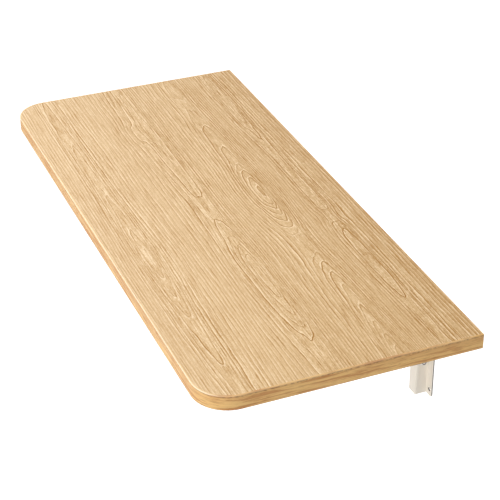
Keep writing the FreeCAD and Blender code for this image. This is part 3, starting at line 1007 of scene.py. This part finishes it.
# %% Arm rails
NOSE = 14.0 * MM
HEEL = 6.5 * MM
ARM_PIN_HOLE = 3.05 * MM
SCREWS = [-49.0 * MM, -113.87 * MM, -303.0 * MM]
SCREW_HOLE = 2.25 * MM


def arm_rail():
    low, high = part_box("arm_channel_right")
    place = (BRACKET, (low.y + high.y) / 2, high.z)
    arm = sheet("arm_rail", place, (high.x - low.x, high.y - low.y))
    for side in (low.x, high.x):
        pick(arm, "EDGE", lambda m: same(m.x, side) and same(m.z, high.z))
        pull(0, 0, low.z - high.z)
    trim(arm, HEEL, steps=8, test=lambda m: same(m.y, high.y) and same(m.z, low.z))
    pick_all()
    run = Vector((0, -NOSE, high.z - SHEET - FOLD_INSIDE - low.z))
    slant = Vector((0, -run.z, run.y))
    bpy.ops.mesh.bisect(plane_co=(0, low.y + NOSE, low.z), plane_no=slant, clear_outer=True)
    fold(arm, FOLD_OUTSIDE, lambda m: same(m.z, high.z) and (same(m.x, low.x) or same(m.x, high.x)))
    thicken(arm, SHEET)
    drill_across(arm, PIN, ARM_PIN_HOLE, low.x - SHEET, high.x + SHEET)
    for y in SCREWS:
        drill(arm, (BRACKET, y, high.z - 2 * SHEET), (BRACKET, y, high.z + SHEET), SCREW_HOLE)
    deburr(arm, SHEET_BURR)
    return arm


hand_over(arm_rail(), "arm_rail", "white_steel", "leaf", "arm_channel")

# %% [markdown]
# Each brace is a pair of flat straps with round ends. A strap is a plane laid along the brace whose
# four corners are rounded by half its width, so that each end becomes a half circle. It is thickened,
# drilled for the pivot, the spacer rivet and the axle, and its stamped edges are softened.

# %% Brace straps
STRAP_WIDTH = 12.0 * MM
STRAP_HOLES = [(PIVOT, 2.35 * MM), (SPACER, 2.3 * MM), (AXLE, 2.5 * MM)]
STRAP_BURR = 0.4 * MM


def brace_strap():
    low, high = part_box("brace_bar_outer_right")
    along = (AXLE - PIVOT).normalized()
    outward = Vector((1, 0, 0))
    across = outward.cross(along)
    turn = Matrix((along, across, outward)).transposed().to_euler()
    place = (PIVOT + AXLE) / 2
    place.x = high.x
    strap = sheet("brace_strap", place, ((AXLE - PIVOT).length + STRAP_WIDTH, STRAP_WIDTH), turn)
    trim(strap, STRAP_WIDTH / 2, steps=12, test=lambda m: True)
    pick_all()
    bpy.ops.mesh.remove_doubles(threshold=CLOSE)
    thicken(strap, high.x - low.x)
    for axle, radius in STRAP_HOLES:
        drill_across(strap, axle, radius, low.x - SHEET, high.x + SHEET)
    deburr(strap, STRAP_BURR)
    return strap


strap = brace_strap()
other_side = middle_of("brace_bar_inner_right").x - middle_of("brace_bar_outer_right").x
second = moved_copy(strap, other_side)
hand_over(strap, "brace_strap", "white_steel", "{side}_brace", "brace_bar", "outer_right", "inner_left")
hand_over(second, "brace_strap", "white_steel", "{side}_brace", "brace_bar", "inner_right", "outer_left")

# %% [markdown]
# The catch is a blade of spring steel under the arm. Its base lies flat on the arm and the blade
# slopes down to the roller. The base is one plane, the blade is pulled out of its edge, and the
# fold between them is rounded before the strip is thickened.

# %% Catch blades
CATCH_THICKNESS = 1.2 * MM
CATCH_BASE = 14.0 * MM
CATCH_BEND = 2.0 * MM
CATCH_CORNER = 2.0 * MM
CATCH_BURR = 0.2 * MM


def catch_blade():
    low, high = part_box("catch_spring_right")
    bend = low.y + CATCH_BASE
    place = (BRACKET, (low.y + bend) / 2, high.z)
    blade = sheet("catch_blade", place, (high.x - low.x, CATCH_BASE))
    pick(blade, "EDGE", lambda m: same(m.y, bend))
    pull(0, high.y - bend, low.z + CATCH_THICKNESS - high.z)
    fold(blade, CATCH_BEND, lambda m: same(m.y, bend))
    trim(blade, CATCH_CORNER, steps=5, test=lambda m: same(m.y, low.y) or same(m.y, high.y))
    thicken(blade, CATCH_THICKNESS)
    deburr(blade, CATCH_BURR)
    return blade


hand_over(catch_blade(), "catch_blade", "spring_steel", "leaf", "catch_spring")

# %% [markdown]
# Everything round is turned, as on a lathe: half of its outline is drawn as a chain of points and
# spun about the axle. The chain starts as a plane merged to one point, which is then pulled along
# the outline. Points are given as (distance from the bracket's middle, radius) in millimetres.

# %% Lathe
LATHE_STEPS = 40
SEAM = 0.001 * MM


def turned(outline, centre):
    """Spins a half outline about an axle that runs across the bracket."""
    axle = (BRACKET, centre.y, centre.z)
    piece = sheet("turned", axle, (MM, MM))
    bpy.ops.mesh.select_mode(type="VERT")
    pick_all()
    bpy.ops.mesh.merge(type="CENTER")
    bpy.ops.transform.translate(value=(outline[0][0] * MM, 0, outline[0][1] * MM))
    for here, there in zip(outline, outline[1:]):
        pull((there[0] - here[0]) * MM, 0, (there[1] - here[1]) * MM)
    pick_all()
    bpy.ops.mesh.spin(steps=LATHE_STEPS, angle=2 * math.pi, center=axle, axis=(1, 0, 0))
    pick_all()
    bpy.ops.mesh.remove_doubles(threshold=SEAM)
    bpy.ops.mesh.normals_make_consistent(inside=False)
    bpy.ops.object.mode_set(mode="OBJECT")
    return piece


print("Lathe ready,", LATHE_STEPS, "steps a turn")

# %% [markdown]
# The hinge pin and the rivets are set cold: a punch spreads their ends into round heads. The hinge
# pin's head is a plain dome. The brace's rivets are struck with a ring punch, which leaves a groove
# round a small raised middle; the pivot's groove shows beside the wall leg as a fine dark ring, whose
# shade is painted into the zinc finish. A head is listed as shares of its height and radius, from its
# seat to its top.

# %% Pins and rivets
DOME = [(0, 1), (0.35, 0.97), (0.65, 0.86), (0.85, 0.64), (0.96, 0.35), (1, 0)]
RING_STRUCK = [
    (0, 1), (0.55, 1), (0.88, 0.95), (1, 0.86), (1, 0.78), (0.45, 0.70), (0.45, 0.52), (0.95, 0.42), (1, 0)]
RIVETS = [
    ("pivot_rivet", PIVOT, 2.3, "wall_side", "brace_pivot"),
    ("spacer_rivet", SPACER, 2.3, "{side}_brace", "brace_rivet"),
    ("axle_rivet", AXLE, 2.5, "{side}_brace", "roller_axle"),
]


def headed(shape, radius, grip, head, height):
    """The outline of a pin that has a head of this shape at both ends of its grip."""
    half = [(grip, radius)] + [(grip + height * up, head * out) for up, out in shape]
    return [(-x, r) for x, r in reversed(half)] + half


rod = headed(DOME, radius=3.0, grip=15.5, head=5.0, height=1.5)
hand_over(turned(rod, PIN), "hinge_rod", "zinc_steel", "wall_side", "hinge_pin")
for stem, axle, radius, body, node in RIVETS:
    rivet = headed(RING_STRUCK, radius, grip=11.5, head=3.7, height=1.2)
    hand_over(turned(rivet, axle), stem, "zinc_steel", body, node)

# %% [markdown]
# Rings close up the joints: nylon bushes space the arm from the leg, thin nylon washers let the
# straps turn against the paint, and a zinc tube keeps the straps apart. A ring's outline is a closed
# chain round its own section, with softened rims. Bushes and washers come in pairs on one axle.

# %% Bushes, washers and spacers
ROUNDED = [(0, 1), (0.3, 0.3), (1, 0)]
BUSH = {"x0": 9.0, "x1": 13.5, "bore": 3.0, "radius": 5.5, "soft": 0.4}
WASHER = {"x0": 9.0, "x1": 9.5, "bore": 2.3, "radius": 5.5, "soft": 0.15}
TUBE = {"x0": -9.5, "x1": 9.5, "bore": 2.3, "radius": 4.0, "soft": 0.3}


def ring_outline(x0, x1, bore, radius, soft):
    """Up one face of a ring, over its two rounded rims, down the other face and back along the bore."""
    near = [(x0 + soft * inward, radius - soft * down) for inward, down in ROUNDED]
    far = [(x1 - soft * inward, radius - soft * down) for inward, down in reversed(ROUNDED)]
    return [(x0, bore)] + near + far + [(x1, bore), (x0, bore)]


def ring_pair(sizes, axle):
    """Two rings, one on each side of the bracket's middle."""
    ring = turned(ring_outline(**sizes), axle)
    return joined(ring, moved_copy(ring, -(sizes["x0"] + sizes["x1"]) * MM))


hand_over(ring_pair(BUSH, PIN), "hinge_bush_pair", "nylon", "wall_side", "hinge_bushes")
hand_over(ring_pair(WASHER, PIVOT), "washer_pair", "nylon", "wall_side", "brace_washers")
tube = turned(ring_outline(**TUBE), SPACER)
hand_over(tube, "spacer_tube", "zinc_steel", "{side}_brace", "brace_spacer")

# %% [markdown]
# The roller carries the leaf's weight, so it is a solid nylon wheel as wide as the gap between the
# straps. Moulded wheels are hollowed a little between hub and rim, which saves a thick, slow cooling
# section. The hollow and the rounded rims are in the outline.

# %% Rollers
ROLLER_SIDE = [(9.2, 2.55), (9.2, 3.6), (8.9, 3.9), (8.4, 4.1), (8.4, 5.2), (8.9, 5.5), (9.2, 5.8),
               (9.2, 6.2), (9.0, 6.7), (8.5, 7.0)]
other_face = [(-x, radius) for x, radius in ROLLER_SIDE]
wheel = other_face + list(reversed(ROLLER_SIDE)) + other_face[:1]
hand_over(turned(wheel, AXLE), "roller_wheel", "nylon", "{side}_roller", "roller")

# %% [markdown]
# The arm screws are pan heads, driven up through the arm into the leaf. Head and shank are listed as
# radius and height. The lathe makes the screw lying across, and it is then stood up on its seat. Two
# crossed bars cut the driver's recess.

# %% Arm screws
SCREW_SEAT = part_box("arm_channel_right")[1].z - SHEET
PAN_HEIGHT = 2.4
PAN_HEAD = [(0, -PAN_HEIGHT), (2.3, -PAN_HEIGHT), (3.1, -2.2), (3.7, -1.6), (4.0, -0.9), (4.0, 0)]
SHANK = [(2.0, 0), (2.0, 12.0), (0, 15.0)]
CROSS = (4.6 * MM, 1.0 * MM, 1.3 * MM)


def arm_screw(y):
    """A screw with its head under the arm at this place along it."""
    centre = Vector((BRACKET, y, SCREW_SEAT))
    screw = turned([(up, radius) for radius, up in PAN_HEAD + SHANK], centre)
    bpy.ops.object.mode_set(mode="EDIT")
    pick_all()
    bpy.ops.transform.rotate(value=math.pi / 2, orient_axis="Y", center_override=centre)
    bpy.ops.object.mode_set(mode="OBJECT")
    long, thin, deep = CROSS
    for size in ((long, thin), (thin, long)):
        bpy.ops.object.select_all(action="DESELECT")
        bpy.ops.mesh.primitive_cube_add(size=1, location=(BRACKET, y, SCREW_SEAT - PAN_HEIGHT * MM))
        bar = bpy.context.active_object
        bar.scale = (*size, 2 * deep)
        settle()
        apply(screw, "BOOLEAN", object=bar, operation="DIFFERENCE", solver="EXACT")
        bpy.data.objects.remove(bar)
    return screw


first_screw = arm_screw(SCREWS[0])
more_screws = [moved_copy(first_screw, y=y - SCREWS[0]) for y in SCREWS[1:]]
hand_over(joined(first_screw, *more_screws), "arm_screw_set", "zinc_steel", "leaf", "arm_screws")
